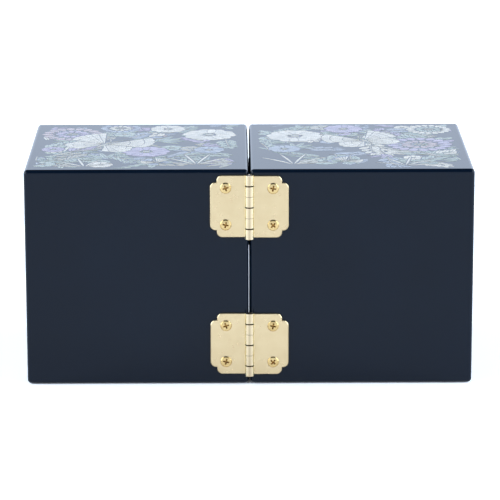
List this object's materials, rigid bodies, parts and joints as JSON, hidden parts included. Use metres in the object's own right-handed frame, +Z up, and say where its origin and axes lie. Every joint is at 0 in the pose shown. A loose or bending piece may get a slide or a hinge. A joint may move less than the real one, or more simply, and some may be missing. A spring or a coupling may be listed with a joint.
{
  "type": "twin-cube jewelry box",
  "caption": "Lacquered jewelry box of two cube cases that are hinged together at the back, each with velvet-lined drawers in front.",
  "frame": {"origin": "centre of the closed pair's footprint, on the surface that it stands on", "axes": "+Z up, +Y towards the drawers, with the hinges on the -Y side, and +X towards the right-hand cube as seen from the hinge side"},
  "size_m": [0.2248, 0.13, 0.111],
  "materials": {
    "black_lacquer": "polished black lacquer over wood",
    "drawer_wood": "satin black stain on wood",
    "hinge_brass": "pale satin brass",
    "screw_brass": "brass-plated steel",
    "hinge_pin_brass": "drawn brass wire",
    "knob_brass": "turned and polished brass",
    "knob_screw_steel": "zinc-plated steel",
    "base_felt": "black wool felt",
    "drawer_velvet": "dark red velvet over card",
    "drawer_pad_velvet": "dark red velvet over foam"
  },
  "bodies": {
    "left_cube": {"left_back_panel": "black_lacquer", "left_base_felt": "base_felt", "left_bottom_panel": "black_lacquer", "left_drawer_shelf": "black_lacquer", "left_inner_side": "black_lacquer", "left_outer_side": "black_lacquer", "left_top_panel": "black_lacquer", "lower_hinge_left_leaf": "hinge_brass", "lower_hinge_left_screws": "screw_brass", "lower_hinge_pin": "hinge_pin_brass", "upper_hinge_left_leaf": "hinge_brass", "upper_hinge_left_screws": "screw_brass", "upper_hinge_pin": "hinge_pin_brass"},
    "right_cube": {"lower_hinge_right_leaf": "hinge_brass", "lower_hinge_right_screws": "screw_brass", "right_back_panel": "black_lacquer", "right_base_felt": "base_felt", "right_bottom_panel": "black_lacquer", "right_drawer_shelf": "black_lacquer", "right_inner_side": "black_lacquer", "right_outer_side": "black_lacquer", "right_top_panel": "black_lacquer", "upper_hinge_right_leaf": "hinge_brass", "upper_hinge_right_screws": "screw_brass"},
    "left_upper_drawer": {"left_upper_drawer_back": "drawer_wood", "left_upper_drawer_bottom": "drawer_wood", "left_upper_drawer_front": "black_lacquer", "left_upper_drawer_inner_side": "drawer_wood", "left_upper_drawer_lining": "drawer_velvet", "left_upper_drawer_outer_side": "drawer_wood", "left_upper_drawer_pad": "drawer_pad_velvet", "left_upper_knob": "knob_brass", "left_upper_knob_screw": "knob_screw_steel"},
    "left_lower_drawer": {"left_lower_drawer_back": "drawer_wood", "left_lower_drawer_bottom": "drawer_wood", "left_lower_drawer_front": "black_lacquer", "left_lower_drawer_inner_side": "drawer_wood", "left_lower_drawer_lining": "drawer_velvet", "left_lower_drawer_outer_side": "drawer_wood", "left_lower_drawer_pad": "drawer_pad_velvet", "left_lower_knob": "knob_brass", "left_lower_knob_screw": "knob_screw_steel"},
    "right_upper_drawer": {"right_upper_drawer_back": "drawer_wood", "right_upper_drawer_bottom": "drawer_wood", "right_upper_drawer_front": "black_lacquer", "right_upper_drawer_inner_side": "drawer_wood", "right_upper_drawer_lining": "drawer_velvet", "right_upper_drawer_outer_side": "drawer_wood", "right_upper_drawer_pad": "drawer_pad_velvet", "right_upper_knob": "knob_brass", "right_upper_knob_screw": "knob_screw_steel"},
    "right_lower_drawer": {"right_lower_drawer_back": "drawer_wood", "right_lower_drawer_bottom": "drawer_wood", "right_lower_drawer_front": "black_lacquer", "right_lower_drawer_inner_side": "drawer_wood", "right_lower_drawer_lining": "drawer_velvet", "right_lower_drawer_outer_side": "drawer_wood", "right_lower_drawer_pad": "drawer_pad_velvet", "right_lower_knob": "knob_brass", "right_lower_knob_screw": "knob_screw_steel"}
  },
  "joints": [
    {"name": "cube_swing", "type": "hinge", "parent": "left_cube", "child": "right_cube", "pos_m": [0, -0.06275, 0.05565], "axis": [0, 0, -1], "range_deg": [0, 180]},
    {"name": "left_upper_drawer_slide", "type": "slide", "parent": "left_cube", "child": "left_upper_drawer", "axis": [0, 1, 0], "range_m": [0, 0.085]},
    {"name": "left_lower_drawer_slide", "type": "slide", "parent": "left_cube", "child": "left_lower_drawer", "axis": [0, 1, 0], "range_m": [0, 0.085]},
    {"name": "right_upper_drawer_slide", "type": "slide", "parent": "right_cube", "child": "right_upper_drawer", "axis": [0, 1, 0], "range_m": [0, 0.085]},
    {"name": "right_lower_drawer_slide", "type": "slide", "parent": "right_cube", "child": "right_lower_drawer", "axis": [0, 1, 0], "range_m": [0, 0.085]}
  ]
}
